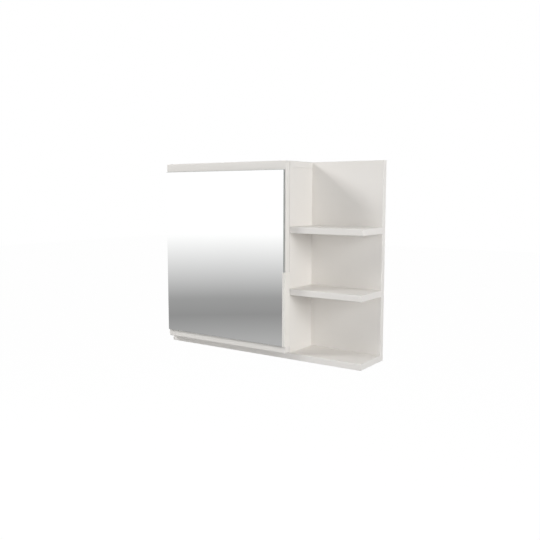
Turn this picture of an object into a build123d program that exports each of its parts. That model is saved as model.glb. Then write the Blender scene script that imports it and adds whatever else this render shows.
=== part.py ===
from build123d import *
import math
import os

# White wall cabinet: a cupboard with one mirror door, and an open shelf bay on its right.
# Millimetres. X = 0 is the middle of the width, Y = 0 the wall, Z = 0 the underside.
# The front looks along -Y.

os.makedirs("parts", exist_ok=True)

# Overall sizes
cabinet_width = 600
cabinet_height = 500
total_depth = 140
cupboard_width = 398
board = 16
band = 2
band_round = 1.5
fit_gap = 0.05
recess_width = 1
recess_depth = 0.9

# Door
door_thickness = 16
door_gap = 2
door_left_inset = 1.5
door_bottom_z = 17
door_round = 3
door_corner = 4

# Mirror and its tape
mirror_thickness = 4
mirror_bevel = 0.6
mirror_left_margin = 2
mirror_right_margin = 3.5
mirror_bottom_margin = 19
mirror_top_margin = 22
tape_thickness = 1
tape_width = 25
tape_strips = 4
tape_end_margin = 15

# Grip on the door's right edge
grip_height = 188
grip_wall = 1.5
grip_lip_reach = 2
grip_lip_thickness = 2.6
grip_mirror_gap = 0.3
grip_round = 1
grip_groove_radius = 2.5
grip_groove_depth = 0.8
grip_screw_radius = 1.5
grip_screw_head_radius = 2.7
grip_screw_head_length = 1.2
grip_screw_length = 16
grip_screw_recess = 3
grip_screw_inset = 30

# Open shelves, measured to their undersides: one from below, one from the top
lower_shelf_z = 165
upper_shelf_from_top = 179

# Inner shelves, measured the same way
lower_inner_z = 148
upper_inner_from_top = 200
inner_shelf_side_gap = 0.5
inner_shelf_front_inset = 12
inner_shelf_back_gap = 1

# Thin back of the cupboard
back_thickness = 3
back_from_wall = 10
groove_depth = 7
groove_gap = 0.2

# Shelf pins and their rows of holes
pin_radius = 2.5
pin_seat = 9
pin_reach = 9
pin_hole_depth = 10
pin_hole_pitch = 32
pin_back_row = 32

# Cam fittings and dowels
cam_radius = 7.5
cam_depth = 12
cam_from_end = 24
cam_line_from_front = 28
cam_line_from_wall = 38
cam_slot_width = 1.6
cam_slot_length = 9
cam_slot_depth = 2
bolt_shank_radius = 3
bolt_thread_length = 11
bolt_head_radius = 3.8
bolt_head_length = 3
dowel_radius = 4
dowel_length = 24

# Screws of the open bay, and their caps inside the cupboard
bay_screw_length = 45
bay_screw_radius = 2.5
bay_screw_head_radius = 4.5
bay_screw_head_length = 2.6
bay_screw_recess = 5.4
bay_screw_inset = 16
bay_screw_side_inset = 30
bay_screw_end_inset = 80
back_screw_line = 5
cap_radius = 6.5
cap_thickness = 1.2

# Door bumpers
bumper_radius = 4
bumper_from_edge = 8
bumper_from_end = 30

# Concealed hinges: the cup in the door
upper_hinge_from_top = 122
lower_hinge_z = 108
cup_radius = 17.5
cup_wall = 1.2
cup_floor = 0.7
cup_depth = 11.7
cup_bore_depth = 12
cup_from_door_edge = 20.5
flange_radius = 18.8
flange_thickness = 1
flange_notch_half = 9
cup_screw_spacing = 48
cup_screw_offset = 6
cup_screw_radius = 1.75
cup_screw_head_radius = 3.4
cup_screw_head_length = 1
cup_screw_length = 12
cup_screw_recess = 3.6
cup_screw_boss = 5.2
ear_inner = 7.4
ear_outer = 9.8
ear_radius = 1.6

# Concealed hinges: links and pins, with their distances from the hinge's middle
inner_link_half = 3.5
outer_link_inner = 5.6
outer_link_outer = 6.8
link_half_width = 1.3
cup_eye_radius = 1.7
arm_eye_radius = 2.2
arm_pin_radius = 1
cup_pin_radius = 0.8
open_pivot_gap = 0.35
inner_cup_pin_half = 9.6
outer_cup_pin_start = 5.45
inner_arm_pin_half = 5.3
outer_arm_pin_half = 7.1

# Concealed hinges: pivots and bends of the links, seen from above. The arm's are measured from the
# cabinet side's inner face and front edge, the others from the door's left edge and back face.
# The bends keep each link clear of the cup and of the door's edge while it swings.
inner_arm_pivot_across = 7.61
inner_arm_pivot_ahead = 7.06
outer_arm_pivot_across = 26
outer_arm_pivot_behind = 4.19
inner_cup_pivot_across = 7.74
inner_cup_pivot_depth = 3.65
outer_cup_pivot_across = 8.73
inner_bend_across = 9.64
inner_bend_depth = 9.4
outer_bend_across = 11.3
outer_bend_depth = 5.43

# Concealed hinges: arm and mounting plate
hole_line = 37
fork_inner = 4
fork_outer = 5.2
fork_radius = 2.3
arm_half_width = 7.6
arm_sheet = 1.2
arm_top = 15
arm_start = 8
arm_length = 52
fork_overlap = 9
fork_root_width = 7
plate_thickness = 2.5
plate_half_length = 21
plate_half_width = 8
plate_wing_half_length = 22
plate_wing_half_width = 7
plate_corner = 2
plate_screw_spacing = 32
plate_screw_radius = 2.5
plate_screw_head_radius = 4.2
plate_screw_head_length = 1.8
plate_screw_length = 13
plate_screw_recess = 4.6
plate_block_gap = 0.2
arm_screw_radius = 2
arm_screw_head_radius = 3.6
arm_screw_head_length = 1.2
arm_screw_length = 11
arm_screw_recess = 4.2
arm_screw_spacing = 20

# Cabinet hangers and the plates they hook over
hanger_from_top = 50
hanger_height = 42
hanger_width = 18
hanger_front = 72
hanger_back_gap = 1
hanger_peg_radius = 5
hanger_peg_length = 10
hanger_peg_spacing = 32
hanger_peg_inset = 14
hanger_peg_drop = 27
hanger_round = 2
hook_sheet = 3
hook_height = 10
hook_from_hanger_top = 3
hook_from_side = 9
hook_drop = 9
hook_gap = 0.2
hook_window_gap = 2
hook_front_gap = 6
hook_tip_front = 3.8
hook_tip_back = 1.2
wall_plate_sheet = 2
wall_plate_from_side = 2
wall_plate_width = 56
wall_plate_depth = 6
wall_plate_lip = 11
wall_plate_foot = 24
wall_plate_round = 1
wall_hole_radius = 3
wall_hole_spacing = 32
wall_hole_drop = 13
hanger_screw_radius = 2.5
hanger_screw_head_radius = 4
hanger_screw_head_length = 2.5
hanger_screw_length = 5.5
hanger_screw_recess = 4.8
hanger_screw_drop = 18

# Places worked out from the sizes above
x_left = -cabinet_width / 2
x_right = cabinet_width / 2
x_left_inner = x_left + board
x_part_right = x_left + cupboard_width
x_part_left = x_part_right - board
y_front = -(total_depth - door_thickness - door_gap)
y_board_front = y_front + band
y_door_back = y_front - door_gap
y_door_front = y_door_back - door_thickness
y_bay_back = -board
z_top = cabinet_height
z_top_under = cabinet_height - board
upper_shelf_z = z_top - upper_shelf_from_top
upper_inner_z = z_top - upper_inner_from_top
upper_hinge_z = z_top - upper_hinge_from_top
hanger_top_z = z_top - hanger_from_top
y_back_rear = -back_from_wall
y_back_front = y_back_rear - back_thickness
x_door_left = x_left + door_left_inset
x_door_right = x_part_right
x_mirror_left = x_door_left + mirror_left_margin
x_mirror_right = x_door_right - mirror_right_margin
z_mirror_low = door_bottom_z + mirror_bottom_margin
z_mirror_high = z_top - mirror_top_margin
y_mirror_back = y_door_front - tape_thickness
y_mirror_front = y_mirror_back - mirror_thickness

# Pivots and bends of the hinge's links, seen from above
inner_arm_pivot = (x_left_inner + inner_arm_pivot_across, y_front - inner_arm_pivot_ahead)
outer_arm_pivot = (x_left_inner + outer_arm_pivot_across, y_front + outer_arm_pivot_behind)
inner_cup_pivot = (x_door_left + inner_cup_pivot_across, y_door_back - inner_cup_pivot_depth)
outer_cup_pivot = (x_door_left + outer_cup_pivot_across, y_door_back)
inner_link_bend = (x_door_left + inner_bend_across, y_door_back - inner_bend_depth)
outer_link_bend = (x_door_left + outer_bend_across, y_door_back - outer_bend_depth)
x_cup = x_door_left + cup_from_door_edge


def block(x_span, y_span, z_span, mode=Mode.ADD):
    """Rectangular block between the given low and high coordinates."""
    with BuildSketch(Plane.XY.offset(z_span[0])) as outline:
        with Locations(((x_span[0] + x_span[1]) / 2, (y_span[0] + y_span[1]) / 2)):
            Rectangle(x_span[1] - x_span[0], y_span[1] - y_span[0])
    extrude(outline.sketch, amount=z_span[1] - z_span[0], mode=mode)


def rod(start, direction, radius, length, mode=Mode.ADD):
    """Round bar, or round hole, that runs from a point along a direction."""
    with BuildSketch(Plane(origin=start, z_dir=direction)) as outline:
        Circle(radius)
    extrude(outline.sketch, amount=length, mode=mode)


def cross_recess(head, direction, width, reach, depth):
    """Cross recess in the face of a screw or cam."""
    with BuildSketch(Plane(origin=head, z_dir=direction)) as cross:
        Rectangle(width, reach)
        Rectangle(reach, width)
    extrude(cross.sketch, amount=depth, mode=Mode.SUBTRACT)


def screw_form(head, direction, sizes, gap=0, mode=Mode.ADD):
    """Countersunk screw, or its hole, with the head's face at a point."""
    radius, head_radius, head_length, length, recess = sizes
    with BuildSketch(Plane(origin=head, z_dir=direction)) as wide:
        Circle(head_radius + gap)
    with BuildSketch(Plane(origin=head, z_dir=direction).offset(head_length)) as narrow:
        Circle(radius + gap)
    loft([wide.sketch.face(), narrow.sketch.face()], mode=mode)
    rod(head, direction, radius + gap, length + gap, mode)
    if mode == Mode.ADD:
        cross_recess(head, direction, recess_width, recess, recess_depth)


# Screws as radius, head radius, head length, length and width of the recess
bay_screw = (
    bay_screw_radius,
    bay_screw_head_radius,
    bay_screw_head_length,
    bay_screw_length,
    bay_screw_recess,
)
grip_screw = (
    grip_screw_radius,
    grip_screw_head_radius,
    grip_screw_head_length,
    grip_screw_length,
    grip_screw_recess,
)
cup_screw = (
    cup_screw_radius,
    cup_screw_head_radius,
    cup_screw_head_length,
    cup_screw_length,
    cup_screw_recess,
)
plate_screw = (
    plate_screw_radius,
    plate_screw_head_radius,
    plate_screw_head_length,
    plate_screw_length,
    plate_screw_recess,
)
arm_screw = (
    arm_screw_radius,
    arm_screw_head_radius,
    arm_screw_head_length,
    arm_screw_length,
    arm_screw_recess,
)
hanger_screw = (
    hanger_screw_radius,
    hanger_screw_head_radius,
    hanger_screw_head_length,
    hanger_screw_length,
    hanger_screw_recess,
)

# Rows and places that several pieces share
cam_rows = (y_board_front + cam_line_from_front, -cam_line_from_wall)
dowel_row = sum(cam_rows) / 2
pin_rows = (y_front + hole_line, y_back_front - pin_back_row)
bay_shelves = (lower_shelf_z, upper_shelf_z)
inner_shelves = (lower_inner_z, upper_inner_z)
hinge_heights = (lower_hinge_z, upper_hinge_z)
bay_screw_rows = (y_board_front + bay_screw_inset, y_bay_back - bay_screw_inset)
bay_screw_columns = (x_part_right + bay_screw_side_inset, x_right - bay_screw_side_inset)
back_board_heights = (
    board + bay_screw_end_inset,
    (lower_shelf_z + board + upper_shelf_z) / 2,
    z_top_under - bay_screw_end_inset,
)
peg_rows = (-hanger_front + hanger_peg_inset, -hanger_front + hanger_peg_inset + hanger_peg_spacing)
z_peg = hanger_top_z - hanger_peg_drop
hook_top = hanger_top_z - hook_from_hanger_top
hook_under = hook_top - hook_height
y_hole_line = y_front + hole_line
hook_from_front = hanger_front - hook_front_gap


def groove_for_back(x_span, z_span):
    """Groove that takes the thin back panel."""
    block(x_span, (y_back_front - groove_gap, y_back_rear + groove_gap), z_span, Mode.SUBTRACT)


def side_fittings(x_face, inward):
    """Cams, dowels, pin holes and hanger pegs in the inner face of a cupboard side."""
    x_middle = x_face - inward * board / 2
    for end, along in ((board, 1), (z_top_under, -1)):
        z_cam = end + along * cam_from_end
        for y in cam_rows:
            rod((x_face, y, z_cam), (-inward, 0, 0), cam_radius + fit_gap, cam_depth, Mode.SUBTRACT)
            rod((x_middle, y, end), (0, 0, along), bolt_head_radius + fit_gap, cam_from_end, Mode.SUBTRACT)
        rod(
            (x_middle, dowel_row, end),
            (0, 0, along),
            dowel_radius + fit_gap,
            dowel_length / 2 + fit_gap,
            Mode.SUBTRACT,
        )
    for y in pin_rows:
        for shelf in inner_shelves:
            for step in (-1, 0, 1):
                z = shelf - pin_radius + step * pin_hole_pitch
                rod(
                    (x_face, y, z),
                    (-inward, 0, 0),
                    pin_radius + fit_gap,
                    pin_hole_depth,
                    Mode.SUBTRACT,
                )
    for y in peg_rows:
        rod(
            (x_face, y, z_peg),
            (-inward, 0, 0),
            hanger_peg_radius + fit_gap,
            hanger_peg_length + fit_gap,
            Mode.SUBTRACT,
        )


def end_fittings(z_face, away):
    """Bolt threads and dowel holes in the top or bottom panel."""
    for x in (x_left_inner - board / 2, x_part_left + board / 2):
        for y in cam_rows:
            rod(
                (x, y, z_face),
                (0, 0, away),
                bolt_shank_radius + fit_gap,
                bolt_thread_length + fit_gap,
                Mode.SUBTRACT,
            )
        rod(
            (x, dowel_row, z_face),
            (0, 0, away),
            dowel_radius + fit_gap,
            dowel_length / 2 + fit_gap,
            Mode.SUBTRACT,
        )


# Left side of the cupboard
with BuildPart() as left_side_panel:
    block((x_left, x_left_inner), (y_board_front, 0), (board, z_top_under))
    groove_for_back((x_left_inner - groove_depth, x_left_inner), (board, z_top_under))
    side_fittings(x_left_inner, 1)
    for z_hinge in hinge_heights:
        for side in (-1, 1):
            rod(
                (x_left_inner, y_hole_line, z_hinge + side * plate_screw_spacing / 2),
                (-1, 0, 0),
                plate_screw_radius + fit_gap,
                plate_screw_length - plate_thickness + fit_gap,
                Mode.SUBTRACT,
            )
left_side_panel.part.label = "left_side_panel"
export_step(left_side_panel.part, "parts/left_side_panel.step")

# Right side of the cupboard, which is also the left wall of the open bay
with BuildPart() as partition_panel:
    block((x_part_left, x_part_right), (y_board_front, 0), (board, z_top_under))
    groove_for_back((x_part_left, x_part_left + groove_depth), (board, z_top_under))
    side_fittings(x_part_left, -1)
    for shelf in bay_shelves:
        for y in bay_screw_rows:
            screw_form(
                (x_part_left, y, shelf + board / 2), (1, 0, 0), bay_screw, fit_gap, Mode.SUBTRACT
            )
    for z in back_board_heights:
        screw_form((x_part_left, -back_screw_line, z), (1, 0, 0), bay_screw, fit_gap, Mode.SUBTRACT)
partition_panel.part.label = "partition_panel"
export_step(partition_panel.part, "parts/partition_panel.step")

# Top panel, which lies on both sides of the cupboard
with BuildPart() as top_panel:
    block((x_left + band, x_part_right - band), (y_board_front, 0), (z_top_under, z_top))
    groove_for_back(
        (x_left_inner - groove_depth, x_part_left + groove_depth),
        (z_top_under, z_top_under + groove_depth),
    )
    end_fittings(z_top_under, 1)
top_panel.part.label = "top_panel"
export_step(top_panel.part, "parts/top_panel.step")

# Bottom panel, full width under the cupboard and the bay
with BuildPart() as bottom_panel:
    block((x_left + band, x_right - band), (y_board_front, 0), (0, board))
    groove_for_back(
        (x_left_inner - groove_depth, x_part_left + groove_depth),
        (board - groove_depth, board),
    )
    end_fittings(board, -1)
    for x in bay_screw_columns:
        screw_form((x, y_bay_back / 2, 0), (0, 0, 1), bay_screw, fit_gap, Mode.SUBTRACT)
bottom_panel.part.label = "bottom_panel"
export_step(bottom_panel.part, "parts/bottom_panel.step")

# Thin back of the cupboard, with a window for each hanger's hook
hook_places = (x_left_inner + hook_from_side, x_part_left - hook_from_side)
with BuildPart() as cupboard_back_panel:
    block(
        (x_left_inner - groove_depth + groove_gap, x_part_left + groove_depth - groove_gap),
        (y_back_front, y_back_rear),
        (board - groove_depth + groove_gap, z_top_under + groove_depth - groove_gap),
    )
    for x in hook_places:
        block(
            (x - hook_sheet / 2 - hook_window_gap, x + hook_sheet / 2 + hook_window_gap),
            (y_back_front, y_back_rear),
            (hook_under - hook_window_gap, hook_top + hook_window_gap),
            Mode.SUBTRACT,
        )
cupboard_back_panel.part.label = "cupboard_back_panel"
export_step(cupboard_back_panel.part, "parts/cupboard_back_panel.step")

# Back board of the open bay, standing on the bottom panel
with BuildPart() as bay_back_board:
    block((x_part_right, x_right - band), (y_bay_back, 0), (board, z_top - band))
    for z in back_board_heights:
        screw_form((x_part_left, -back_screw_line, z), (1, 0, 0), bay_screw, fit_gap, Mode.SUBTRACT)
    for x in bay_screw_columns:
        screw_form((x, y_bay_back / 2, 0), (0, 0, 1), bay_screw, fit_gap, Mode.SUBTRACT)
        for shelf in bay_shelves:
            screw_form((x, 0, shelf + board / 2), (0, -1, 0), bay_screw, fit_gap, Mode.SUBTRACT)
bay_back_board.part.label = "bay_back_board"
export_step(bay_back_board.part, "parts/bay_back_board.step")


def open_shelf(z_low):
    """Shelf of the open bay, screwed on from the cupboard and from the wall side."""
    block((x_part_right, x_right - band), (y_board_front, y_bay_back), (z_low, z_low + board))
    for y in bay_screw_rows:
        screw_form((x_part_left, y, z_low + board / 2), (1, 0, 0), bay_screw, fit_gap, Mode.SUBTRACT)
    for x in bay_screw_columns:
        screw_form((x, 0, z_low + board / 2), (0, -1, 0), bay_screw, fit_gap, Mode.SUBTRACT)


# Open shelves
with BuildPart() as lower_open_shelf:
    open_shelf(lower_shelf_z)
lower_open_shelf.part.label = "lower_open_shelf"
export_step(lower_open_shelf.part, "parts/lower_open_shelf.step")

with BuildPart() as upper_open_shelf:
    open_shelf(upper_shelf_z)
upper_open_shelf.part.label = "upper_open_shelf"
export_step(upper_open_shelf.part, "parts/upper_open_shelf.step")


def inner_shelf(z_low):
    """Loose shelf inside the cupboard."""
    block(
        (x_left_inner + inner_shelf_side_gap, x_part_left - inner_shelf_side_gap),
        (y_board_front + inner_shelf_front_inset, y_back_front - inner_shelf_back_gap),
        (z_low, z_low + board),
    )


def shelf_pins(z_low):
    """Four pins that carry one inner shelf."""
    for x_face, inward in ((x_left_inner, 1), (x_part_left, -1)):
        for y in pin_rows:
            rod(
                (x_face - inward * pin_seat, y, z_low - pin_radius),
                (inward, 0, 0),
                pin_radius,
                pin_seat + pin_reach,
            )


# Inner shelves and their pins
with BuildPart() as lower_inner_shelf:
    inner_shelf(lower_inner_z)
lower_inner_shelf.part.label = "lower_inner_shelf"
export_step(lower_inner_shelf.part, "parts/lower_inner_shelf.step")

with BuildPart() as upper_inner_shelf:
    inner_shelf(upper_inner_z)
upper_inner_shelf.part.label = "upper_inner_shelf"
export_step(upper_inner_shelf.part, "parts/upper_inner_shelf.step")

with BuildPart() as lower_shelf_pins:
    shelf_pins(lower_inner_z)
lower_shelf_pins.part.label = "lower_shelf_pins"
export_step(lower_shelf_pins.part, "parts/lower_shelf_pins.step")

with BuildPart() as upper_shelf_pins:
    shelf_pins(upper_inner_z)
upper_shelf_pins.part.label = "upper_shelf_pins"
export_step(upper_shelf_pins.part, "parts/upper_shelf_pins.step")


def front_band(x_span, z_span):
    """Edge band on the front of a board, with its long front edges rounded."""
    upright = z_span[1] - z_span[0] > x_span[1] - x_span[0]
    with BuildPart() as strip:
        block(x_span, (y_front, y_board_front), z_span)
        long_edges = strip.edges().filter_by(Axis.Z if upright else Axis.X)
        fillet(long_edges.sort_by(Axis.Y)[:2], band_round)
    return strip.part


def end_band(x_outer, outward, y_span, z_span):
    """Edge band on the end of a board, with its long outer edges rounded."""
    upright = z_span[1] - z_span[0] > y_span[1] - y_span[0]
    x_span = sorted((x_outer, x_outer - outward * band))
    with BuildPart() as strip:
        block(x_span, y_span, z_span)
        long_edges = strip.edges().filter_by(Axis.Z if upright else Axis.Y)
        outer_edges = long_edges.sort_by(Axis.X)
        fillet(outer_edges[-2:] if outward > 0 else outer_edges[:2], band_round)
    return strip.part


# Edge bands of the carcass
carcass_strips = [
    front_band((x_left, x_left_inner), (board, z_top_under)),
    front_band((x_part_left, x_part_right), (board, z_top_under)),
    front_band((x_left, x_part_right), (z_top_under, z_top)),
    front_band((x_left, x_right), (0, board)),
    end_band(x_left, -1, (y_board_front, 0), (z_top_under, z_top)),
    end_band(x_part_right, 1, (y_board_front, y_bay_back), (z_top_under, z_top)),
    end_band(x_left, -1, (y_board_front, 0), (0, board)),
    end_band(x_right, 1, (y_board_front, 0), (0, board)),
]
with BuildPart() as carcass_edge_bands:
    for strip in carcass_strips:
        add(strip)
carcass_edge_bands.part.label = "carcass_edge_bands"
export_step(carcass_edge_bands.part, "parts/carcass_edge_bands.step")

# Edge bands of the open shelves
shelf_strips = []
for shelf in bay_shelves:
    shelf_strips.append(front_band((x_part_right, x_right), (shelf, shelf + board)))
    shelf_strips.append(end_band(x_right, 1, (y_board_front, y_bay_back), (shelf, shelf + board)))
with BuildPart() as open_shelf_edge_bands:
    for strip in shelf_strips:
        add(strip)
open_shelf_edge_bands.part.label = "open_shelf_edge_bands"
export_step(open_shelf_edge_bands.part, "parts/open_shelf_edge_bands.step")

# Edge bands of the bay's back board: its right edge and its top
with BuildPart() as top_strip:
    block((x_part_right, x_right), (y_bay_back, 0), (z_top - band, z_top))
    fillet(top_strip.edges().filter_by(Axis.X).sort_by(Axis.Z)[-2:], band_round)
right_strip = end_band(x_right, 1, (y_bay_back, 0), (board, z_top - band))
with BuildPart() as back_board_edge_bands:
    add(top_strip.part)
    add(right_strip)
back_board_edge_bands.part.label = "back_board_edge_bands"
export_step(back_board_edge_bands.part, "parts/back_board_edge_bands.step")

# Cam housings, their bolts, and the dowels
side_faces = ((x_left_inner, 1), (x_part_left, -1))
with BuildPart() as cam_housings:
    for x_face, inward in side_faces:
        for end, along in ((board, 1), (z_top_under, -1)):
            for y in cam_rows:
                centre = (x_face, y, end + along * cam_from_end)
                rod(centre, (-inward, 0, 0), cam_radius, cam_depth - fit_gap)
    for x_face, inward in side_faces:
        for end, along in ((board, 1), (z_top_under, -1)):
            for y in cam_rows:
                z_cam = end + along * cam_from_end
                cross_recess(
                    (x_face, y, z_cam),
                    (-inward, 0, 0),
                    cam_slot_width,
                    cam_slot_length,
                    cam_slot_depth,
                )
                rod(
                    (x_face - inward * board / 2, y, end),
                    (0, 0, along),
                    bolt_head_radius + fit_gap,
                    cam_from_end + bolt_head_length / 2 + fit_gap,
                    Mode.SUBTRACT,
                )
cam_housings.part.label = "cam_housings"
export_step(cam_housings.part, "parts/cam_housings.step")

with BuildPart() as cam_bolts:
    for x_face, inward in side_faces:
        for end, along in ((board, 1), (z_top_under, -1)):
            for y in cam_rows:
                x = x_face - inward * board / 2
                shank_start = end - along * bolt_thread_length
                shank_length = bolt_thread_length + cam_from_end + bolt_head_length / 2
                head_start = end + along * (cam_from_end - bolt_head_length / 2)
                rod((x, y, shank_start), (0, 0, along), bolt_shank_radius, shank_length)
                rod((x, y, head_start), (0, 0, along), bolt_head_radius, bolt_head_length)
cam_bolts.part.label = "cam_bolts"
export_step(cam_bolts.part, "parts/cam_bolts.step")

with BuildPart() as dowels:
    for x_face, inward in side_faces:
        for end in (board, z_top_under):
            start = (x_face - inward * board / 2, dowel_row, end - dowel_length / 2)
            rod(start, (0, 0, 1), dowel_radius, dowel_length)
dowels.part.label = "dowels"
export_step(dowels.part, "parts/dowels.step")

# Screws of the open bay and the caps that hide them inside the cupboard
with BuildPart() as open_shelf_screws:
    for shelf in bay_shelves:
        z = shelf + board / 2
        for y in bay_screw_rows:
            screw_form((x_part_left, y, z), (1, 0, 0), bay_screw)
        for x in bay_screw_columns:
            screw_form((x, 0, z), (0, -1, 0), bay_screw)
open_shelf_screws.part.label = "open_shelf_screws"
export_step(open_shelf_screws.part, "parts/open_shelf_screws.step")

with BuildPart() as back_board_screws:
    for z in back_board_heights:
        screw_form((x_part_left, -back_screw_line, z), (1, 0, 0), bay_screw)
    for x in bay_screw_columns:
        screw_form((x, y_bay_back / 2, 0), (0, 0, 1), bay_screw)
back_board_screws.part.label = "back_board_screws"
export_step(back_board_screws.part, "parts/back_board_screws.step")

with BuildPart() as screw_caps:
    for shelf in bay_shelves:
        for y in bay_screw_rows:
            rod((x_part_left, y, shelf + board / 2), (-1, 0, 0), cap_radius, cap_thickness)
    fillet(screw_caps.edges().filter_by(GeomType.CIRCLE).group_by(Axis.X)[0], cap_thickness / 2)
screw_caps.part.label = "screw_caps"
export_step(screw_caps.part, "parts/screw_caps.step")

# Door board, with rounded front edges and two cup bores in its back
grip_bottom_z = z_mirror_low
grip_screw_heights = (
    grip_bottom_z + grip_screw_inset,
    grip_bottom_z + grip_height - grip_screw_inset,
)
y_grip_screw = (y_door_front + y_door_back) / 2
with BuildPart() as door_board:
    with BuildSketch(Plane.XZ.offset(-y_door_front)) as door_outline:
        with Locations(((x_door_left + x_door_right) / 2, (door_bottom_z + z_top) / 2)):
            RectangleRounded(x_door_right - x_door_left, z_top - door_bottom_z, door_corner)
    extrude(amount=-door_thickness)
    fillet(door_board.faces().sort_by(Axis.Y)[0].edges(), door_round)
    for z_hinge in hinge_heights:
        rod((x_cup, y_door_back, z_hinge), (0, -1, 0), cup_radius + fit_gap, cup_bore_depth, Mode.SUBTRACT)
        for side in (-1, 1):
            screw_form(
                (
                    x_cup + cup_screw_offset,
                    y_door_back + flange_thickness,
                    z_hinge + side * cup_screw_spacing / 2,
                ),
                (0, -1, 0),
                cup_screw,
                fit_gap,
                Mode.SUBTRACT,
            )
    for z in grip_screw_heights:
        screw_form(
            (x_door_right + grip_wall, y_grip_screw, z), (-1, 0, 0), grip_screw, fit_gap, Mode.SUBTRACT
        )
door_board.part.label = "door_board"
export_step(door_board.part, "parts/door_board.step")

# Mirror glass and the tape that holds it
with BuildPart() as mirror_glass:
    block((x_mirror_left, x_mirror_right), (y_mirror_front, y_mirror_back), (z_mirror_low, z_mirror_high))
    chamfer(mirror_glass.faces().sort_by(Axis.Y)[0].edges(), mirror_bevel)
mirror_glass.part.label = "mirror_glass"
export_step(mirror_glass.part, "parts/mirror_glass.step")

with BuildPart() as mirror_tape:
    tape_pitch = (x_mirror_right - x_mirror_left) / tape_strips
    for strip in range(tape_strips):
        x_middle = x_mirror_left + (strip + 0.5) * tape_pitch
        block(
            (x_middle - tape_width / 2, x_middle + tape_width / 2),
            (y_mirror_back, y_door_front),
            (z_mirror_low + tape_end_margin, z_mirror_high - tape_end_margin),
        )
mirror_tape.part.label = "mirror_tape"
export_step(mirror_tape.part, "parts/mirror_tape.step")

# Grip: a slim profile on the door's right edge whose lip reaches over the mirror's edge
y_lip_back = y_mirror_front - grip_mirror_gap
y_lip_front = y_lip_back - grip_lip_thickness
x_grip_outer = x_door_right + grip_wall
with BuildPart() as door_grip:
    with BuildSketch(Plane.XY.offset(grip_bottom_z)) as grip_profile:
        with BuildLine():
            Polyline(
                (x_door_right, y_door_back),
                (x_grip_outer, y_door_back),
                (x_grip_outer, y_lip_front),
                (x_mirror_right - grip_lip_reach, y_lip_front),
                (x_mirror_right - grip_lip_reach, y_lip_back),
                (x_mirror_right + grip_mirror_gap, y_lip_back),
                (x_mirror_right + grip_mirror_gap, y_door_front),
                (x_door_right, y_door_front),
                close=True,
            )
        make_face()
        fillet(grip_profile.vertices().group_by(Axis.Y)[0], grip_round)
        with Locations(
            (x_grip_outer + grip_groove_radius - grip_groove_depth, (y_lip_front + y_door_front) / 2)
        ):
            Circle(grip_groove_radius, mode=Mode.SUBTRACT)
    extrude(amount=grip_height)
    for z in grip_screw_heights:
        screw_form((x_grip_outer, y_grip_screw, z), (-1, 0, 0), grip_screw, fit_gap, Mode.SUBTRACT)
door_grip.part.label = "door_grip"
export_step(door_grip.part, "parts/door_grip.step")

with BuildPart() as grip_screws:
    for z in grip_screw_heights:
        screw_form((x_grip_outer, y_grip_screw, z), (-1, 0, 0), grip_screw)
grip_screws.part.label = "grip_screws"
export_step(grip_screws.part, "parts/grip_screws.step")

# Clear bumpers between the door and the partition's front edge
with BuildPart() as door_bumpers:
    for z in (door_bottom_z + bumper_from_end, z_top_under - bumper_from_end):
        rod((x_door_right - bumper_from_edge, y_door_back, z), (0, 1, 0), bumper_radius, door_gap)
door_bumpers.part.label = "door_bumpers"
export_step(door_bumpers.part, "parts/door_bumpers.step")


def capsule(start, end, half_width):
    """Bar with round ends between two points, in the sketch being drawn."""
    turn = math.degrees(math.atan2(end[1] - start[1], end[0] - start[0]))
    with Locations(((start[0] + end[0]) / 2, (start[1] + end[1]) / 2)):
        SlotCenterToCenter(math.dist(start, end), 2 * half_width, rotation=turn)


def link_plate(cup_pivot, bend, arm_pivot, cup_gap, z_span):
    """Bent link with an eye at each end."""
    with BuildSketch(Plane.XY.offset(z_span[0])) as outline:
        capsule(cup_pivot, bend, link_half_width)
        capsule(bend, arm_pivot, link_half_width)
        with Locations(cup_pivot):
            Circle(cup_eye_radius)
        with Locations(arm_pivot):
            Circle(arm_eye_radius)
        with Locations(cup_pivot):
            Circle(cup_pin_radius + cup_gap, mode=Mode.SUBTRACT)
        with Locations(arm_pivot):
            Circle(arm_pin_radius + fit_gap, mode=Mode.SUBTRACT)
    extrude(outline.sketch, amount=z_span[1] - z_span[0])


def upright_pin(place, z_span, radius, mode=Mode.ADD):
    """Pin, or pin hole, along Z."""
    rod((place[0], place[1], z_span[0]), (0, 0, 1), radius, z_span[1] - z_span[0], mode)


def around(z_middle, half):
    """Low and high Z of something centred on a hinge."""
    return (z_middle - half, z_middle + half)


def beside(z_middle, side, near, far):
    """Low and high Z of something on one side of a hinge's middle."""
    return tuple(sorted((z_middle + side * near, z_middle + side * far)))


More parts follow.
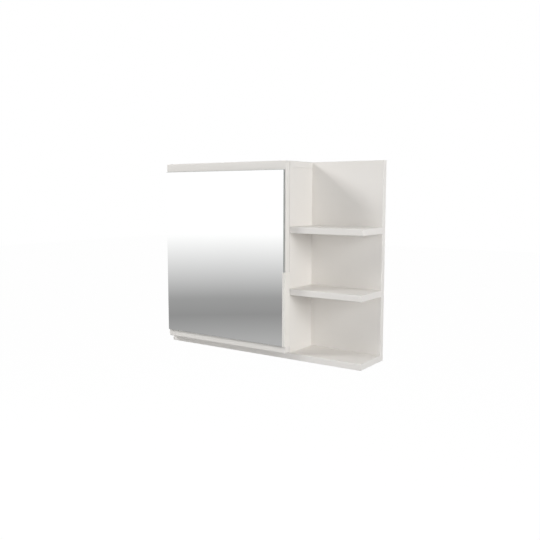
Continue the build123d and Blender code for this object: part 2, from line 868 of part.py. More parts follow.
# Concealed hinges. The cup and its pins move with the door, the arm and its pins stay with the
# cabinet, and the two kinds of links swing between them.
x_plate_top = x_left_inner + plate_thickness
x_arm_top = x_left_inner + arm_top
y_arm_front = y_front + arm_start
y_arm_back = y_arm_front + arm_length
arm_screw_rows = (y_hole_line - arm_screw_spacing / 2, y_hole_line + arm_screw_spacing / 2)
cup_flange_plane = Plane.XZ.offset(-y_door_back)
for place, z_hinge in (("lower", lower_hinge_z), ("upper", upper_hinge_z)):
    cup_screw_places = [
        (x_cup + cup_screw_offset, y_door_back + flange_thickness, z_hinge + side * cup_screw_spacing / 2)
        for side in (-1, 1)
    ]

    # Cup with its flange, and an ear on each side for the pins
    with BuildPart() as hinge_cup:
        with BuildSketch(cup_flange_plane) as flange_outline:
            with Locations((x_cup, z_hinge)):
                Circle(flange_radius)
            for side in (-1, 1):
                with Locations((x_cup + cup_screw_offset, z_hinge + side * cup_screw_spacing / 2)):
                    Circle(cup_screw_boss)
            make_hull()
        extrude(amount=-flange_thickness)
        block(
            (x_cup - flange_radius, x_cup + flange_radius),
            (y_door_back, y_door_back + flange_thickness),
            around(z_hinge, flange_notch_half),
            Mode.SUBTRACT,
        )
        rod((x_cup, y_door_back, z_hinge), (0, -1, 0), cup_radius, cup_depth)
        hollow_depth = cup_depth - cup_floor + flange_thickness
        hollow_start = (x_cup, y_door_back + flange_thickness, z_hinge)
        rod(hollow_start, (0, -1, 0), cup_radius - cup_wall, hollow_depth, Mode.SUBTRACT)
        for side in (-1, 1):
            ear_span = beside(z_hinge, side, ear_inner, ear_outer)
            with BuildSketch(Plane.XY.offset(ear_span[0])) as ear_outline:
                capsule(inner_cup_pivot, outer_cup_pivot, ear_radius)
            extrude(amount=ear_outer - ear_inner)
        for pivot in (inner_cup_pivot, outer_cup_pivot):
            upright_pin(pivot, around(z_hinge, inner_cup_pin_half), cup_pin_radius + fit_gap, Mode.SUBTRACT)
        for screw_place in cup_screw_places:
            screw_form(screw_place, (0, -1, 0), cup_screw, fit_gap, Mode.SUBTRACT)
    hinge_cup.part.label = place + "_hinge_cup"
    export_step(hinge_cup.part, "parts/" + place + "_hinge_cup.step")

    # Screws of the cup
    with BuildPart() as cup_screws:
        for screw_place in cup_screw_places:
            screw_form(screw_place, (0, -1, 0), cup_screw)
    cup_screws.part.label = place + "_cup_screws"
    export_step(cup_screws.part, "parts/" + place + "_cup_screws.step")

    # Pins in the cup: one through both ears, and a short one in each ear
    with BuildPart() as cup_pins:
        upright_pin(inner_cup_pivot, around(z_hinge, inner_cup_pin_half), cup_pin_radius)
        for side in (-1, 1):
            span = beside(z_hinge, side, outer_cup_pin_start, inner_cup_pin_half)
            upright_pin(outer_cup_pivot, span, cup_pin_radius)
    cup_pins.part.label = place + "_cup_pins"
    export_step(cup_pins.part, "parts/" + place + "_cup_pins.step")

    # Pins in the arm
    with BuildPart() as arm_pins:
        upright_pin(inner_arm_pivot, around(z_hinge, inner_arm_pin_half), arm_pin_radius)
        upright_pin(outer_arm_pivot, around(z_hinge, outer_arm_pin_half), arm_pin_radius)
    arm_pins.part.label = place + "_arm_pins"
    export_step(arm_pins.part, "parts/" + place + "_arm_pins.step")

    # Inner link, between the two cheeks of the arm's fork
    with BuildPart() as inner_link:
        link_plate(
            inner_cup_pivot, inner_link_bend, inner_arm_pivot, fit_gap, around(z_hinge, inner_link_half)
        )
    inner_link.part.label = place + "_inner_link"
    export_step(inner_link.part, "parts/" + place + "_inner_link.step")

    # Outer link: one plate on each side of the fork
    with BuildPart() as outer_link:
        for side in (-1, 1):
            link_plate(
                outer_cup_pivot,
                outer_link_bend,
                outer_arm_pivot,
                open_pivot_gap,
                beside(z_hinge, side, outer_link_inner, outer_link_outer),
            )
    outer_link.part.label = place + "_outer_link"
    export_step(outer_link.part, "parts/" + place + "_outer_link.step")

    # Arm: a channel over the mounting plate, and a fork in front of it that carries the pins
    with BuildPart() as hinge_arm:
        block((x_plate_top, x_arm_top), (y_arm_front, y_arm_back), around(z_hinge, arm_half_width))
        fillet(hinge_arm.faces().sort_by(Axis.X)[-1].edges().filter_by(Axis.Y), arm_sheet / 2)
        block(
            (x_plate_top, x_arm_top - arm_sheet),
            (y_arm_front, y_arm_back),
            around(z_hinge, arm_half_width - arm_sheet),
            Mode.SUBTRACT,
        )
        for side in (-1, 1):
            cheek_span = beside(z_hinge, side, fork_inner, fork_outer)
            with BuildSketch(Plane.XY.offset(cheek_span[0])) as cheek_outline:
                for pivot in (inner_arm_pivot, outer_arm_pivot):
                    with Locations(pivot):
                        Circle(fork_radius)
                with Locations((x_arm_top - fork_root_width / 2, y_arm_front + fork_overlap / 2)):
                    Rectangle(fork_root_width, fork_overlap)
                make_hull()
            extrude(amount=fork_outer - fork_inner)
        for pivot in (inner_arm_pivot, outer_arm_pivot):
            upright_pin(pivot, around(z_hinge, outer_arm_pin_half), arm_pin_radius + fit_gap, Mode.SUBTRACT)
        for y in arm_screw_rows:
            screw_form((x_arm_top, y, z_hinge), (-1, 0, 0), arm_screw, fit_gap, Mode.SUBTRACT)
    hinge_arm.part.label = place + "_hinge_arm"
    export_step(hinge_arm.part, "parts/" + place + "_hinge_arm.step")

    # Screws that fix and adjust the arm
    with BuildPart() as arm_screws:
        for y in arm_screw_rows:
            screw_form((x_arm_top, y, z_hinge), (-1, 0, 0), arm_screw)
    arm_screws.part.label = place + "_arm_screws"
    export_step(arm_screws.part, "parts/" + place + "_arm_screws.step")

    # Mounting plate on the cabinet's side, with the block the arm slides on
    with BuildPart() as mounting_plate:
        with BuildSketch(Plane.YZ.offset(x_left_inner)) as plate_outline:
            with Locations((y_hole_line, z_hinge)):
                RectangleRounded(2 * plate_half_length, 2 * plate_half_width, plate_corner)
                RectangleRounded(2 * plate_wing_half_width, 2 * plate_wing_half_length, plate_corner)
        extrude(amount=plate_thickness)
        block(
            (x_left_inner, x_arm_top - arm_sheet),
            (y_hole_line - plate_half_length + plate_corner, y_hole_line + plate_half_length - plate_corner),
            around(z_hinge, arm_half_width - arm_sheet - plate_block_gap),
        )
        for side in (-1, 1):
            screw_place = (x_plate_top, y_hole_line, z_hinge + side * plate_screw_spacing / 2)
            screw_form(screw_place, (-1, 0, 0), plate_screw, fit_gap, Mode.SUBTRACT)
        for y in arm_screw_rows:
            screw_form((x_arm_top, y, z_hinge), (-1, 0, 0), arm_screw, fit_gap, Mode.SUBTRACT)
    mounting_plate.part.label = place + "_mounting_plate"
    export_step(mounting_plate.part, "parts/" + place + "_mounting_plate.step")

    # Screws of the mounting plate
    with BuildPart() as plate_screws:
        for side in (-1, 1):
            screw_place = (x_plate_top, y_hole_line, z_hinge + side * plate_screw_spacing / 2)
            screw_form(screw_place, (-1, 0, 0), plate_screw)
    plate_screws.part.label = place + "_plate_screws"
    export_step(plate_screws.part, "parts/" + place + "_plate_screws.step")

# Hangers in the cupboard's upper corners. Each hook reaches through the thin back and sits on the
# upturned lip of a plate that is screwed to the wall.
y_hanger_back = y_back_front - hanger_back_gap
z_hanger_low = hanger_top_z - hanger_height
z_web_top = hook_under - wall_plate_lip
z_web_under = z_web_top - wall_plate_sheet
z_plate_low = z_web_under - wall_plate_foot
z_hanger_screws = ((hook_top + hook_under) / 2, (hook_top + hook_under) / 2 - hanger_screw_drop)
for place, x_face, inward in (("left", x_left_inner, 1), ("right", x_part_left, -1)):
    x_hook = x_face + inward * hook_from_side
    housing_span = sorted((x_face, x_face + inward * hanger_width))

    # Housing, with two pegs pressed into the cabinet's side
    with BuildPart() as hanger_housing:
        block(housing_span, (-hanger_front, y_hanger_back), (z_hanger_low, hanger_top_z))
        inner_face = hanger_housing.faces().sort_by(Axis.X)[-1 if inward > 0 else 0]
        fillet(inner_face.edges(), hanger_round)
        for y in peg_rows:
            rod((x_face, y, z_peg), (-inward, 0, 0), hanger_peg_radius, hanger_peg_length)
        block(
            (x_hook - hook_sheet / 2 - hook_gap, x_hook + hook_sheet / 2 + hook_gap),
            (-hook_from_front - hook_gap, y_hanger_back),
            (hook_under - hook_gap, hook_top + hook_gap),
            Mode.SUBTRACT,
        )
        for z in z_hanger_screws:
            screw_form((x_hook, -hanger_front, z), (0, 1, 0), hanger_screw, fit_gap, Mode.SUBTRACT)
    hanger_housing.part.label = place + "_hanger_housing"
    export_step(hanger_housing.part, "parts/" + place + "_hanger_housing.step")

    # Hook
    with BuildPart() as hanger_hook:
        hook_span = (x_hook - hook_sheet / 2, x_hook + hook_sheet / 2)
        block(hook_span, (-hook_from_front, -hook_tip_back), (hook_under, hook_top))
        block(hook_span, (-hook_tip_front, -hook_tip_back), (hook_under - hook_drop, hook_under))
    hanger_hook.part.label = place + "_hanger_hook"
    export_step(hanger_hook.part, "parts/" + place + "_hanger_hook.step")

    # Adjusting screws in the housing's front
    with BuildPart() as hanger_screws:
        for z in z_hanger_screws:
            screw_form((x_hook, -hanger_front, z), (0, 1, 0), hanger_screw)
    hanger_screws.part.label = place + "_hanger_screws"
    export_step(hanger_screws.part, "parts/" + place + "_hanger_screws.step")

    # Plate on the wall: a foot with two screw holes, bent out and up into a lip
    x_plate_near = x_face + inward * wall_plate_from_side
    x_plate_far = x_plate_near + inward * wall_plate_width
    plate_span = sorted((x_plate_near, x_plate_far))
    x_plate_middle = (x_plate_near + x_plate_far) / 2
    with BuildPart() as wall_plate:
        block(plate_span, (-wall_plate_sheet, 0), (z_plate_low, z_web_top))
        block(plate_span, (-wall_plate_depth, 0), (z_web_under, z_web_top))
        block(plate_span, (-wall_plate_depth, -wall_plate_depth + wall_plate_sheet), (z_web_under, hook_under))
        bend_edge = wall_plate.edges().filter_by(Axis.X).group_by(Axis.Y)[0].sort_by(Axis.Z)[0]
        fillet(bend_edge, wall_plate_round)
        for side in (-1, 1):
            hole_start = (x_plate_middle + side * wall_hole_spacing / 2, 0, z_web_top - wall_hole_drop)
            rod(hole_start, (0, -1, 0), wall_hole_radius, wall_plate_sheet, Mode.SUBTRACT)
    wall_plate.part.label = place + "_wall_plate"
    export_step(wall_plate.part, "parts/" + place + "_wall_plate.step")
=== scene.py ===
import bpy
import math
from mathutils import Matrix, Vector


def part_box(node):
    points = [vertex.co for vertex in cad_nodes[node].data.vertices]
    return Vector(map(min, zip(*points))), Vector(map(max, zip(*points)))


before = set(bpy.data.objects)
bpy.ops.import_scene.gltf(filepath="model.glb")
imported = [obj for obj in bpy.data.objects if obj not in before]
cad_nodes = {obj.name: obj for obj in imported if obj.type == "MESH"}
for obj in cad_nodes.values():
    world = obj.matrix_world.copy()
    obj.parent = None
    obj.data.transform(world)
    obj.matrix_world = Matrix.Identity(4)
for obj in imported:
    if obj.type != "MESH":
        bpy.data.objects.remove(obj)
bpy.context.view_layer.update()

# Camera: a little above the cabinet's middle and well to the right of it, as in the photograph.
camera_data = bpy.data.cameras.new("camera")
camera_data.sensor_width = 36
camera_data.lens = 44.05
camera_data.clip_end = 60
camera = bpy.data.objects.new("camera", camera_data)
camera.location = (0.9928, -1.5057, 0.4168)
camera.rotation_euler = (math.radians(83.485), math.radians(-0.043), math.radians(34.611))
bpy.context.scene.collection.objects.link(camera)
bpy.context.scene.camera = camera
bpy.context.scene.view_settings.view_transform = "Standard"

# Studio: a pale floor far below the hanging cabinet, and a white surround. Mirror and metal see
# the surround too: white above eye level, and a grey band where a studio floor would be.
floor_width = 30
floor_drop = 0.95
bpy.ops.object.select_all(action="DESELECT")
bpy.ops.mesh.primitive_plane_add(size=floor_width, location=(0, 0, -floor_drop))
studio_floor = bpy.context.object
studio_floor.name = "studio_floor"
studio_floor.visible_glossy = False
floor_paint = bpy.data.materials.new("floor_paint")
floor_paint.use_nodes = True
nodes = floor_paint.node_tree.nodes
links = floor_paint.node_tree.links
nodes.clear()
rays = nodes.new("ShaderNodeLightPath")
lit_floor = nodes.new("ShaderNodeBsdfDiffuse")
lit_floor.inputs["Color"].default_value = (0.8, 0.8, 0.8, 1)
white_floor = nodes.new("ShaderNodeEmission")
white_floor.inputs["Color"].default_value = (1, 1, 1, 1)
white_floor.inputs["Strength"].default_value = 1.04
# The camera sees this share of the floor as plain white, and the rest as the lit floor.
white_share = 0.94
seen = nodes.new("ShaderNodeMath")
seen.operation = "MULTIPLY"
seen.inputs[1].default_value = white_share
floor_mix = nodes.new("ShaderNodeMixShader")
floor_out = nodes.new("ShaderNodeOutputMaterial")
links.new(rays.outputs["Is Camera Ray"], seen.inputs[0])
links.new(seen.outputs["Value"], floor_mix.inputs["Fac"])
links.new(lit_floor.outputs["BSDF"], floor_mix.inputs[1])
links.new(white_floor.outputs["Emission"], floor_mix.inputs[2])
links.new(floor_mix.outputs["Shader"], floor_out.inputs["Surface"])
studio_floor.data.materials.append(floor_paint)

world = bpy.data.worlds.new("studio")
bpy.context.scene.world = world
world.use_nodes = True
nodes = world.node_tree.nodes
links = world.node_tree.links
nodes.clear()
rays = nodes.new("ShaderNodeLightPath")
direction = nodes.new("ShaderNodeTexCoord")
height = nodes.new("ShaderNodeSeparateXYZ")
links.new(direction.outputs["Generated"], height.inputs["Vector"])
below = nodes.new("ShaderNodeMath")
below.operation = "MULTIPLY"
below.inputs[1].default_value = -1
links.new(height.outputs["Z"], below.inputs[0])
surround = nodes.new("ShaderNodeValToRGB")
surround.color_ramp.interpolation = "LINEAR"
stops = surround.color_ramp.elements
for place, grey in ((0.06, 1.0), (0.125, 0.55), (0.155, 0.33), (0.18, 0.28), (0.22, 0.42)):
    stop = stops.new(place)
    stop.color = (grey, grey, grey, 1)
stops[0].color = (1, 1, 1, 1)
stops[-1].color = (0.9, 0.9, 0.9, 1)
links.new(below.outputs["Value"], surround.inputs["Fac"])
surround_light = nodes.new("ShaderNodeBackground")
surround_light.inputs["Strength"].default_value = 1.08
links.new(surround.outputs["Color"], surround_light.inputs["Color"])
soft_light = nodes.new("ShaderNodeBackground")
soft_light.inputs["Color"].default_value = (1, 1, 1, 1)
soft_light.inputs["Strength"].default_value = 0.28
backdrop = nodes.new("ShaderNodeBackground")
backdrop.inputs["Color"].default_value = (1, 1, 1, 1)
backdrop.inputs["Strength"].default_value = 1
glossy_mix = nodes.new("ShaderNodeMixShader")
camera_mix = nodes.new("ShaderNodeMixShader")
world_out = nodes.new("ShaderNodeOutputWorld")
links.new(rays.outputs["Is Glossy Ray"], glossy_mix.inputs["Fac"])
links.new(soft_light.outputs["Background"], glossy_mix.inputs[1])
links.new(surround_light.outputs["Background"], glossy_mix.inputs[2])
links.new(rays.outputs["Is Camera Ray"], camera_mix.inputs["Fac"])
links.new(glossy_mix.outputs["Shader"], camera_mix.inputs[1])
links.new(backdrop.outputs["Background"], camera_mix.inputs[2])
links.new(camera_mix.outputs["Shader"], world_out.inputs["Surface"])

# Lamps: the main one high on the left, so that the door shades the left ends of the shelves, a
# large one on the right and a weak one low in front. Their shapes don't show in the mirror.
for name, place, aim, size, power in (
    ("lamp_left", (-2.2, -1.6, 1.9), (0, 0, 0.25), 0.8, 50),
    ("lamp_right", (2.6, -0.9, 0.9), (0.1, 0, 0.25), 1.2, 38),
    ("lamp_front", (0.3, -3.0, 0.3), (0, 0, 0.25), 1.2, 8),
):
    lamp_data = bpy.data.lights.new(name, "AREA")
    lamp_data.shape = "SQUARE"
    lamp_data.size = size
    lamp_data.energy = power
    lamp = bpy.data.objects.new(name, lamp_data)
    lamp.location = place
    towards = [a - b for a, b in zip(aim, place)]
    lamp.rotation_euler = (
        math.atan2(math.hypot(towards[0], towards[1]), -towards[2]),
        0,
        math.atan2(-towards[0], towards[1]),
    )
    lamp.visible_glossy = False
    lamp.visible_camera = False
    bpy.context.scene.collection.objects.link(lamp)

# Boards: chipboard 16 mm thick, faced on both sides with white melamine that has a faint satin
# grain. Where the board is cut, drilled or grooved, and at rear edges against the wall, the bare
# chipboard shows.


def start_material(name):
    material = bpy.data.materials.new(name)
    material.use_nodes = True
    nodes = material.node_tree.nodes
    links = material.node_tree.links
    nodes.clear()
    surface = nodes.new("ShaderNodeBsdfPrincipled")
    output = nodes.new("ShaderNodeOutputMaterial")
    links.new(surface.outputs["BSDF"], output.inputs["Surface"])
    place = nodes.new("ShaderNodeTexCoord").outputs["Object"]
    return material, nodes, links, place, surface


def noise(nodes, links, place, scale, detail=3, roughness=0.5):
    texture = nodes.new("ShaderNodeTexNoise")
    texture.inputs["Scale"].default_value = scale
    texture.inputs["Detail"].default_value = detail
    texture.inputs["Roughness"].default_value = roughness
    links.new(place, texture.inputs["Vector"])
    return texture.outputs["Fac"]


def ramp(nodes, links, value, *stops):
    colours = nodes.new("ShaderNodeValToRGB")
    elements = colours.color_ramp.elements
    elements[0].position, elements[0].color = stops[0][0], (*stops[0][1], 1)
    elements[1].position, elements[1].color = stops[-1][0], (*stops[-1][1], 1)
    for position, colour in stops[1:-1]:
        elements.new(position).color = (*colour, 1)
    links.new(value, colours.inputs["Fac"])
    return colours.outputs["Color"]


def between(nodes, links, value, low, high):
    spread = nodes.new("ShaderNodeMapRange")
    spread.inputs["To Min"].default_value = low
    spread.inputs["To Max"].default_value = high
    links.new(value, spread.inputs["Value"])
    return spread.outputs["Result"]


def relief(nodes, links, surface, height, depth):
    bump = nodes.new("ShaderNodeBump")
    bump.inputs["Distance"].default_value = depth
    links.new(height, bump.inputs["Height"])
    links.new(bump.outputs["Normal"], surface.inputs["Normal"])


def compare(nodes, links, operation, value, limit):
    comparison = nodes.new("ShaderNodeMath")
    comparison.operation = operation
    comparison.inputs[1].default_value = limit
    links.new(value, comparison.inputs[0])
    return comparison.outputs["Value"]


def facing_wall(nodes, links):
    """1 where a surface looks straight at the wall while its piece is at rest, -1 at the room."""
    facing = nodes.new("ShaderNodeNewGeometry")
    own_facing = nodes.new("ShaderNodeVectorTransform")
    own_facing.vector_type = "NORMAL"
    own_facing.convert_from = "WORLD"
    own_facing.convert_to = "OBJECT"
    links.new(facing.outputs["True Normal"], own_facing.inputs["Vector"])
    facing_parts = nodes.new("ShaderNodeSeparateXYZ")
    links.new(own_facing.outputs["Vector"], facing_parts.inputs["Vector"])
    return facing_parts.outputs["Y"]


def choose(nodes, links, mask, plain, marked, kind="FLOAT"):
    """The plain value where the mask is 0, and the marked one where it is 1."""
    mix = nodes.new("ShaderNodeMix")
    mix.data_type = kind
    links.new(mask, mix.inputs["Factor"])
    for name, value in (("A", plain), ("B", marked)):
        if isinstance(value, float):
            mix.inputs[name].default_value = value
        else:
            links.new(value, mix.inputs[name])
    return mix.outputs["Result"]


def dress(material, *names):
    for name in names:
        cad_nodes[name].data.materials.clear()
        cad_nodes[name].data.materials.append(material)


# A surface faces the wall or the room when facing_wall is beyond this, to one side or the other.
squarely = 0.9


def board_material(board_name, raw_rear, cut_depth):
    material, nodes, links, place, surface = start_material(board_name + "_melamine")
    clouds = noise(nodes, links, place, 9, 4)
    melamine = ramp(nodes, links, clouds, (0.3, (0.835, 0.81, 0.775)), (0.7, (0.85, 0.827, 0.795)))
    grain = noise(nodes, links, place, 900, 2, 0.6)
    pearl = noise(nodes, links, place, 420, 2)

    low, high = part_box(board_name)
    middle = (low + high) / 2
    half = (high - low) / 2
    centred = nodes.new("ShaderNodeVectorMath")
    centred.operation = "SUBTRACT"
    centred.inputs[1].default_value = middle
    links.new(place, centred.inputs[0])
    distance = nodes.new("ShaderNodeVectorMath")
    distance.operation = "ABSOLUTE"
    links.new(centred.outputs["Vector"], distance.inputs[0])
    inside = nodes.new("ShaderNodeVectorMath")
    inside.operation = "SUBTRACT"
    inside.inputs[0].default_value = half
    links.new(distance.outputs["Vector"], inside.inputs[1])
    depth = nodes.new("ShaderNodeSeparateXYZ")
    links.new(inside.outputs["Vector"], depth.inputs["Vector"])
    nearest = nodes.new("ShaderNodeMath")
    nearest.operation = "MINIMUM"
    links.new(depth.outputs["X"], nearest.inputs[0])
    links.new(depth.outputs["Y"], nearest.inputs[1])
    nearest_of_all = nodes.new("ShaderNodeMath")
    nearest_of_all.operation = "MINIMUM"
    links.new(nearest.outputs["Value"], nearest_of_all.inputs[0])
    links.new(depth.outputs["Z"], nearest_of_all.inputs[1])
    bare = compare(nodes, links, "GREATER_THAN", nearest_of_all.outputs["Value"], cut_depth)
    if raw_rear:
        rear = compare(nodes, links, "GREATER_THAN", facing_wall(nodes, links), squarely)
        either = nodes.new("ShaderNodeMath")
        either.operation = "MAXIMUM"
        links.new(bare, either.inputs[0])
        links.new(rear, either.inputs[1])
        bare = either.outputs["Value"]

    chips = nodes.new("ShaderNodeTexVoronoi")
    chips.inputs["Scale"].default_value = 520
    links.new(place, chips.inputs["Vector"])
    chip_tint = nodes.new("ShaderNodeSeparateColor")
    links.new(chips.outputs["Color"], chip_tint.inputs["Color"])
    chipboard = ramp(
        nodes,
        links,
        chip_tint.outputs["Red"],
        (0.0, (0.30, 0.19, 0.10)),
        (0.5, (0.52, 0.37, 0.22)),
        (1.0, (0.68, 0.53, 0.35)),
    )
    colour = choose(nodes, links, bare, melamine, chipboard, "RGBA")
    links.new(colour, surface.inputs["Base Color"])
    satin = between(nodes, links, pearl, 0.4, 0.5)
    links.new(choose(nodes, links, bare, satin, 0.9), surface.inputs["Roughness"])
    fine = between(nodes, links, grain, 0.0, 0.06)
    height = choose(nodes, links, bare, fine, chips.outputs["Distance"])
    relief(nodes, links, surface, height, 0.0003)
    return material


# How deep inside its board's box a surface has to lie to count as cut, in metres. The door board's
# rounded corners lie up to 1.5 mm deep and have to stay white.
square_board = 0.0004
rounded_door = 0.002
for board_name, raw_rear, cut_depth in (
    ("left_side_panel", True, square_board),
    ("partition_panel", True, square_board),
    ("top_panel", True, square_board),
    ("bottom_panel", True, square_board),
    ("bay_back_board", False, square_board),
    ("lower_open_shelf", False, square_board),
    ("upper_open_shelf", False, square_board),
    ("lower_inner_shelf", False, square_board),
    ("upper_inner_shelf", False, square_board),
    ("door_board", False, rounded_door),
):
    dress(board_material(board_name, raw_rear, cut_depth), board_name)

# Edge bands: 2 mm white plastic, glued on the visible edges of the boards and rounded over. They
# are a shade smoother than the faces.
band_material, nodes, links, place, surface = start_material("edge_band_white")
clouds = noise(nodes, links, place, 14, 3)
links.new(
    ramp(nodes, links, clouds, (0.3, (0.84, 0.817, 0.785)), (0.7, (0.855, 0.833, 0.803))),
    surface.inputs["Base Color"],
)
sheen = noise(nodes, links, place, 300, 2)
links.new(between(nodes, links, sheen, 0.32, 0.42), surface.inputs["Roughness"])
relief(nodes, links, surface, noise(nodes, links, place, 1100, 2), 0.00003)
dress(band_material, "carcass_edge_bands", "open_shelf_edge_bands", "back_board_edge_bands")

# Thin back: 3 mm fibreboard in grooves, lacquered white towards the inside and left brown towards
# the wall.
back_material, nodes, links, place, surface = start_material("fibreboard_back")
lacquered = compare(nodes, links, "LESS_THAN", facing_wall(nodes, links), -squarely)
fibres = noise(nodes, links, place, 260, 8, 0.75)
brown = ramp(nodes, links, fibres, (0.3, (0.23, 0.14, 0.075)), (0.7, (0.36, 0.24, 0.14)))
lacquer_clouds = noise(nodes, links, place, 12, 3)
lacquer = ramp(nodes, links, lacquer_clouds, (0.3, (0.79, 0.783, 0.757)), (0.7, (0.81, 0.803, 0.78)))
colour = choose(nodes, links, lacquered, brown, lacquer, "RGBA")
links.new(colour, surface.inputs["Base Color"])
lacquer_sheen = between(nodes, links, noise(nodes, links, place, 350, 2), 0.42, 0.52)
links.new(choose(nodes, links, lacquered, 0.75, lacquer_sheen), surface.inputs["Roughness"])
relief(nodes, links, surface, fibres, 0.00006)
dress(back_material, "cupboard_back_panel")

# Mirror: 4 mm silvered float glass with a ground edge all round. The silvering is what shows from
# the door's front, also when the door is open; the edge shows the grey green of the glass.
mirror_material, nodes, links, place, glass_edge = start_material("mirror_glass")
silvered_face = -0.95
front = compare(nodes, links, "LESS_THAN", facing_wall(nodes, links), silvered_face)
glass_edge.inputs["Roughness"].default_value = 0.28
glass_edge.inputs["IOR"].default_value = 1.52
links.new(
    ramp(
        nodes,
        links,
        noise(nodes, links, place, 900, 3),
        (0.3, (0.22, 0.24, 0.24)),
        (0.7, (0.32, 0.345, 0.34)),
    ),
    glass_edge.inputs["Base Color"],
)
relief(nodes, links, glass_edge, noise(nodes, links, place, 2600, 2), 0.00004)
silvering = nodes.new("ShaderNodeBsdfPrincipled")
links.new(
    ramp(
        nodes,
        links,
        noise(nodes, links, place, 5, 2),
        (0.3, (0.924, 0.929, 0.926)),
        (0.7, (0.936, 0.941, 0.938)),
    ),
    silvering.inputs["Base Color"],
)
silvering.inputs["Metallic"].default_value = 1
silvering.inputs["Roughness"].default_value = 0.0
glass_mix = nodes.new("ShaderNodeMixShader")
links.new(front, glass_mix.inputs["Fac"])
links.new(glass_edge.outputs["BSDF"], glass_mix.inputs[1])
links.new(silvering.outputs["BSDF"], glass_mix.inputs[2])
links.new(glass_mix.outputs["Shader"], nodes["Material Output"].inputs["Surface"])
dress(mirror_material, "mirror_glass")

# Mirror tape: four upright strips of white foam tape with open pores, pressed between the glass
# and the door board. Hardly anything of them shows.
tape_material, nodes, links, place, surface = start_material("foam_tape")
pores = noise(nodes, links, place, 3000, 2)
links.new(
    ramp(nodes, links, pores, (0.35, (0.66, 0.66, 0.64)), (0.6, (0.80, 0.80, 0.78))),
    surface.inputs["Base Color"],
)
surface.inputs["Roughness"].default_value = 0.85
relief(nodes, links, surface, pores, 0.0001)
dress(tape_material, "mirror_tape")

# Door grip: a slim folded metal strip along the door's right edge, coated white together with
# the heads of its two screws, with a fine texture of the coating.
grip_material, nodes, links, place, surface = start_material("grip_coating")
links.new(
    ramp(
        nodes,
        links,
        noise(nodes, links, place, 20, 3),
        (0.3, (0.85, 0.83, 0.785)),
        (0.7, (0.865, 0.846, 0.805)),
    ),
    surface.inputs["Base Color"],
)
peel = noise(nodes, links, place, 700, 2)
links.new(between(nodes, links, peel, 0.3, 0.4), surface.inputs["Roughness"])
relief(nodes, links, surface, peel, 0.00006)
dress(grip_material, "door_grip", "grip_screws")

# Hinges and their screws: pressed steel, plated with bright nickel that shows faint rolling marks
# and small dull patches.
nickel_material, nodes, links, place, surface = start_material("nickel_plate")
patches = noise(nodes, links, place, 130, 4)
links.new(
    ramp(nodes, links, patches, (0.3, (0.60, 0.575, 0.53)), (0.7, (0.70, 0.68, 0.64))),
    surface.inputs["Base Color"],
)
surface.inputs["Metallic"].default_value = 1
links.new(between(nodes, links, patches, 0.18, 0.34), surface.inputs["Roughness"])
stretched = nodes.new("ShaderNodeMapping")
stretched.inputs["Scale"].default_value = (1, 1, 12)
links.new(place, stretched.inputs["Vector"])
relief(nodes, links, surface, noise(nodes, links, stretched.outputs["Vector"], 420, 3), 0.00002)
hinge_pieces = [
    hinge_place + piece
    for hinge_place in ("lower_", "upper_")
    for piece in (
        "hinge_cup",
        "cup_screws",
        "cup_pins",
        "arm_pins",
        "inner_link",
        "outer_link",
        "hinge_arm",
        "arm_screws",
    )
]
dress(nickel_material, *hinge_pieces)

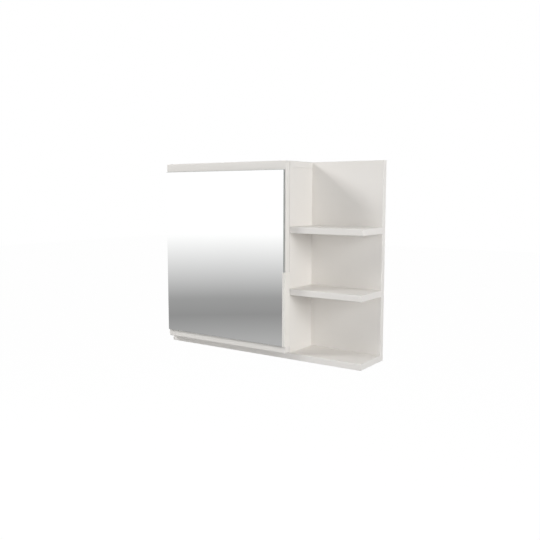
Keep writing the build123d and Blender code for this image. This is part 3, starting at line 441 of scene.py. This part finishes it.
# Mounting plates, wall plates, hooks, cams, bolts, pins and wood screws: zinc-plated, duller and
# a little bluish, with the cloudy look of the plating bath.
zinc_material, nodes, links, place, surface = start_material("zinc_plate")
clouds = noise(nodes, links, place, 90, 5, 0.6)
spangle = nodes.new("ShaderNodeTexVoronoi")
spangle.inputs["Scale"].default_value = 260
links.new(place, spangle.inputs["Vector"])
links.new(
    ramp(nodes, links, clouds, (0.3, (0.50, 0.52, 0.55)), (0.7, (0.64, 0.66, 0.68))),
    surface.inputs["Base Color"],
)
surface.inputs["Metallic"].default_value = 1
links.new(between(nodes, links, spangle.outputs["Distance"], 0.3, 0.5), surface.inputs["Roughness"])
relief(nodes, links, surface, clouds, 0.00004)
dress(
    zinc_material,
    "cam_housings",
    "cam_bolts",
    "lower_shelf_pins",
    "upper_shelf_pins",
    "open_shelf_screws",
    "back_board_screws",
    "left_wall_plate",
    "right_wall_plate",
    "left_hanger_hook",
    "right_hanger_hook",
    "left_hanger_screws",
    "right_hanger_screws",
    "lower_mounting_plate",
    "upper_mounting_plate",
    "lower_plate_screws",
    "upper_plate_screws",
)

# Hanger housings and screw caps: moulded white plastic with a finely sparked surface. Each housing
# is held by two pegs in the cupboard's side. The caps lie over the heads of the shelf screws inside
# the cupboard.
plastic_material, nodes, links, place, surface = start_material("moulded_white")
sparks = noise(nodes, links, place, 1800, 2)
clouds = noise(nodes, links, place, 40, 2)
links.new(
    ramp(nodes, links, clouds, (0.3, (0.79, 0.79, 0.77)), (0.7, (0.82, 0.82, 0.80))),
    surface.inputs["Base Color"],
)
links.new(between(nodes, links, sparks, 0.42, 0.58), surface.inputs["Roughness"])
relief(nodes, links, surface, sparks, 0.00005)
dress(plastic_material, "left_hanger_housing", "right_hanger_housing", "screw_caps")

# Door bumpers: two clear soft rubber pads, stuck to the rear of the door near its free edge. They
# are slightly hazy.
bumper_material, nodes, links, place, surface = start_material("clear_bumper")
surface.inputs["Transmission Weight"].default_value = 0.85
surface.inputs["IOR"].default_value = 1.45
haze = noise(nodes, links, place, 500, 2)
links.new(
    ramp(nodes, links, haze, (0.3, (0.86, 0.87, 0.87)), (0.7, (0.93, 0.94, 0.94))),
    surface.inputs["Base Color"],
)
links.new(between(nodes, links, haze, 0.15, 0.3), surface.inputs["Roughness"])
dress(bumper_material, "door_bumpers")

# Dowels: upright beech pins that join the cupboard's sides to the top and bottom panels, with the
# grain along their length.
dowel_material, nodes, links, place, surface = start_material("beech_dowel")
drawn = nodes.new("ShaderNodeMapping")
drawn.inputs["Scale"].default_value = (1, 1, 0.08)
links.new(place, drawn.inputs["Vector"])
grain = noise(nodes, links, drawn.outputs["Vector"], 1500, 4)
links.new(
    ramp(nodes, links, grain, (0.3, (0.46, 0.30, 0.16)), (0.7, (0.62, 0.44, 0.26))),
    surface.inputs["Base Color"],
)
surface.inputs["Roughness"].default_value = 0.65
relief(nodes, links, surface, grain, 0.00005)
dress(dowel_material, "dowels")
